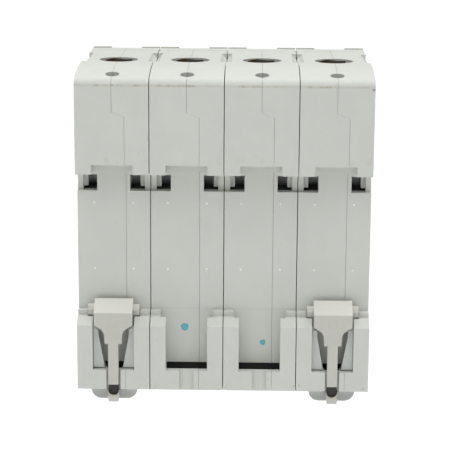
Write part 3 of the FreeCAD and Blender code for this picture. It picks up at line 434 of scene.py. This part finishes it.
def paint_dots():
    """Two spots of assembly paint, in the lower pockets of the two middle poles."""
    nodes = Nodes("assembly_paint")
    tone = nodes.mix(nodes.noise(900, 3), (0.075, 0.42, 0.50, 1), (0.115, 0.51, 0.58, 1))
    paint = nodes.finish(tone, 0.35, nodes.bump(nodes.noise(700, 2), 0.2, 0.0001))
    dot_height, wobble = 0.09 * MM, 0.05
    for pole, offset, z, radius in ((3, 0.6, -22.4, 0.92), (2, -0.8, -26.1, 0.68)):
        mesh = bmesh.new()
        centre = Vector((pole_x(pole) + offset * MM, 0.0, z * MM))
        lens_shape(mesh, centre, radius * MM, dot_height, wobble)
        mesh_piece(f"assembly_paint_{pole}", mesh, "housing", paint)


def notch_floors():
    """The floor of each notch in the hook, level with the rail seat and parted at the joint line."""
    seat = Nodes("notch_floor")
    tone = seat.mix(seat.band(seat.noise(90, 3), 0.35, 0.65), shade(CASE, 0.97), shade(CASE, 1.0))
    plastic = seat.finish(tone, 0.52, seat.bump(seat.noise(5200, 2), 0.1, 0.00006), Specular_IOR_Level=0.42)
    seam_gap = 0.04 * MM
    thickness, height = 0.092 * MM, 2.26 * MM
    depth, middle = -0.047 * MM, 16.86 * MM
    mesh = bmesh.new()
    for pole in POLES:
        for left, right in ((-NOTCH_HALF, SEAM_X - seam_gap), (SEAM_X + seam_gap, NOTCH_HALF)):
            plate = bmesh.ops.create_cube(mesh, size=1.0)["verts"]
            bmesh.ops.scale(mesh, verts=plate, vec=(right - left, thickness, height))
            centre = (pole_x(pole) + (left + right) / 2, depth, middle)
            bmesh.ops.translate(mesh, verts=plate, vec=centre)
    mesh_piece("notch_floors", mesh, "housing", plastic, smooth=False)


def ejector_marks():
    """Pin marks on the recess floor, four on each pole."""
    mesh = bmesh.new()
    across, radius, height = 4.65 * MM, 0.3 * MM, 0.05 * MM
    for pole in POLES:
        for side in (-1, 1):
            for z in (8.1 * MM, -8.0 * MM):
                centre = Vector((pole_x(pole) + side * across, 0, z))
                lens_shape(mesh, centre, radius, height, steps=16)
    white = moulded_plastic("pin_mark", (0.86, 0.87, 0.84), 0.35, 0.3)
    mesh_piece("ejector_marks", mesh, "housing", white)


def entry_guards():
    """The sprung metal lip of each cage terminal, against the far wall of its cable entry."""
    nodes = Nodes("terminal_lip")
    x, z = nodes.axis("X"), nodes.axis("Z")
    across = nodes.math("WRAP", x, PITCH, 0.0)
    past_left = nodes.band(across, 9.6 * MM, 10.4 * MM)
    brass = nodes.product(past_left, nodes.band(across, 11.6 * MM, 12.2 * MM, 1, 0))
    tone = nodes.mix(nodes.noise(500, 3, stretch=(1, 1, 0.2)), (0.07, 0.07, 0.065, 1), (0.32, 0.32, 0.30, 1))
    tone = nodes.mix(nodes.product(brass, 0.85), tone, (0.14, 0.09, 0.035, 1))
    foot = nodes.band(nodes.math("ABSOLUTE", z), 39.05 * MM, 39.45 * MM, 0.8, 0.0)
    tone = nodes.mix(foot, tone, (0.36, 0.22, 0.08, 1))
    metal = nodes.finish(tone, 0.36, nodes.bump(nodes.noise(900, 2), 0.15, 0.0001), Metallic=0.75)
    for sign, side in ((1, "line"), (-1, "load")):
        for pole in POLES:
            centre = Vector((pole_x(pole), ENTRY_DEPTH, 0))
            mesh = lip_mesh(centre, sign)
            mesh_piece(f"terminal_lip_{side}_{pole}", mesh, "housing", metal, smooth=False)


def lip_mesh(centre, sign, steps=18):
    """A thin curved strip along the far wall of a cable entry, with a wavy outer edge."""
    root, edge = 38.75 * MM, 39.8 * MM
    wave = 0.12 * MM
    start, sweep = -40, 88
    outer, inner = ENTRY_RADIUS, ENTRY_RADIUS - 0.16 * MM
    section = ((outer, root, 0), (outer, edge, wave), (inner, edge, wave), (inner, root, 0))
    mesh = bmesh.new()
    levels = []
    for radius, height, amount in section:
        row = []
        for step in range(steps + 1):
            angle = math.radians(start + sweep * step / steps)
            z = sign * (height + amount * math.sin(5 * angle))
            reach = Vector((radius * math.sin(angle), -radius * math.cos(angle), z))
            row.append(mesh.verts.new(centre + reach))
        levels.append(row)
    for index, row in enumerate(levels):
        other = levels[(index + 1) % len(levels)]
        for step in range(steps):
            mesh.faces.new((row[step], row[step + 1], other[step + 1], other[step]))
    for end in (0, steps):
        mesh.faces.new([row[end] for row in levels])
    bmesh.ops.recalc_face_normals(mesh, faces=mesh.faces)
    return mesh


def lettering(name, text, place, size, body, material):
    """One mark on a face that looks towards the user."""
    curve = bpy.data.curves.new(name, "FONT")
    curve.body = text
    curve.size = size
    curve.extrude = 0.04 * MM
    curve.align_x = "CENTER"
    curve.align_y = "CENTER"
    piece = bpy.data.objects.new(name, curve)
    piece.rotation_euler = Euler((math.radians(90), 0, 0))
    piece.location = place
    bpy.context.scene.collection.objects.link(piece)
    curve.materials.append(material)
    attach(piece, body)


def generic_marks():
    """Terminal numbers and the test letter: what every such device carries."""
    ink = moulded_plastic("ink", (0.05, 0.055, 0.065), 0.4, 0.4)
    sunk = 0.01 * MM
    number_size, number_height = 2.6 * MM, 20.2 * MM
    for pole in POLES:
        for sign, side, number in ((1, "line", 2 * pole - 1), (-1, "load", 2 * pole)):
            place = Vector((pole_x(pole), CAP_FRONT - sunk, sign * number_height))
            text = str(number) if pole < 4 else "N"
            name = f"terminal_mark_{side}_{pole}"
            lettering(name, text, place, number_size, "housing", ink)
    button_size, button_height = 4.2 * MM, 11 * MM
    place = Vector((pole_x(2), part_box("test_button")[0].y - sunk, button_height))
    lettering("test_mark", "T", place, button_size, "test_button", ink)


# ------------------------------------------------------------------ stage
FLOOR_DROP = 110 * MM
FLOOR_REACH = 40.0
SKY_HORIZON = 0.0
SKY_ZENITH = 2.36
OVERHEAD_WATTS = 0.55


def floor_paint(name, colour, roughness):
    nodes = Nodes(name)
    tone = nodes.mix(nodes.noise(3, 2), shade(colour, 0.995), shade(colour, 1.0))
    return nodes.finish(tone, roughness)


def build_floor(level):
    mesh = bmesh.new()
    bmesh.ops.create_grid(mesh, x_segments=2, y_segments=2, size=FLOOR_REACH)
    bmesh.ops.translate(mesh, verts=mesh.verts, vec=(0, 0, level))
    data = bpy.data.meshes.new("floor")
    mesh.to_mesh(data)
    mesh.free()
    floor = bpy.data.objects.new("floor", data)
    data.materials.append(floor_paint("pale_floor", (0.93, 0.93, 0.93), 0.8))
    bpy.context.scene.collection.objects.link(floor)


def soft_light(name, place, aim, size, power):
    light = bpy.data.lights.new(name, "AREA")
    light.shape = "RECTANGLE"
    light.size = size[0]
    light.size_y = size[1]
    light.energy = power
    lamp = bpy.data.objects.new(name, light)
    lamp.location = place
    lamp.rotation_euler = (Vector(aim) - Vector(place)).to_track_quat("-Z", "Y").to_euler()
    bpy.context.scene.collection.objects.link(lamp)


def build_light():
    """A soft white tent: brightest overhead, dimmer towards the horizon."""
    world = bpy.data.worlds.new("studio")
    world.use_nodes = True
    tree = world.node_tree
    direction = tree.nodes.new("ShaderNodeTexCoord").outputs["Generated"]
    split = tree.nodes.new("ShaderNodeSeparateXYZ")
    tree.links.new(direction, split.inputs[0])
    rise = tree.nodes.new("ShaderNodeMapRange")
    rise.inputs["From Min"].default_value = 0.0
    rise.inputs["From Max"].default_value = 1.0
    rise.inputs["To Min"].default_value = SKY_HORIZON ** 0.5
    rise.inputs["To Max"].default_value = SKY_ZENITH ** 0.5
    tree.links.new(split.outputs["Z"], rise.inputs["Value"])
    squared = tree.nodes.new("ShaderNodeMath")
    squared.operation = "POWER"
    squared.inputs[1].default_value = 2.0
    tree.links.new(rise.outputs["Result"], squared.inputs[0])
    background = tree.nodes["Background"]
    background.inputs["Color"].default_value = (1.0, 1.0, 0.995, 1)
    tree.links.new(squared.outputs[0], background.inputs["Strength"])
    bpy.context.scene.world = world
    bpy.context.scene.view_settings.view_transform = "Standard"
    soft_light("overhead", (0.10, 0.45, 0.80), (0, 0, 0), (0.5, 0.4), OVERHEAD_WATTS)


def build_camera():
    """From behind and a little above, as a long lens sees it."""
    azimuth = math.radians(181.007)
    elevation = math.radians(12.494)
    roll = math.radians(0.358)
    distance = 0.38907
    aim = Vector((-0.256 * MM, 0.0, 2.879 * MM))
    level = math.cos(elevation)
    back = Vector((math.sin(azimuth) * level, -math.cos(azimuth) * level, math.sin(elevation)))
    data = bpy.data.cameras.new("camera")
    data.sensor_width = 36.0
    data.lens = 130.57
    data.clip_start = 0.01
    data.clip_end = 100.0
    camera = bpy.data.objects.new("camera", data)
    camera.rotation_mode = "QUATERNION"
    camera.location = aim + back * distance
    turn = (-back).to_track_quat("-Z", "Y")
    camera.rotation_quaternion = turn @ Matrix.Rotation(roll, 4, "Z").to_quaternion()
    bpy.context.scene.collection.objects.link(camera)
    bpy.context.scene.camera = camera


dress_cad_nodes()
for pole in POLES:
    for side in ("left", "right"):
        soften(f"pole_{pole}_{side}_shell", 0.09 * MM)
for pole in CLIP_POLES:
    soften(f"rail_clip_{pole}", 0.14 * MM)
    soften(f"clip_guide_{pole}", 0.12 * MM)
soften("toggle", 0.3 * MM)
soften("test_button", 0.3 * MM)
paint_dots()
notch_floors()
ejector_marks()
entry_guards()
generic_marks()
build_floor(cad_low.z - FLOOR_DROP)
build_light()
build_camera()
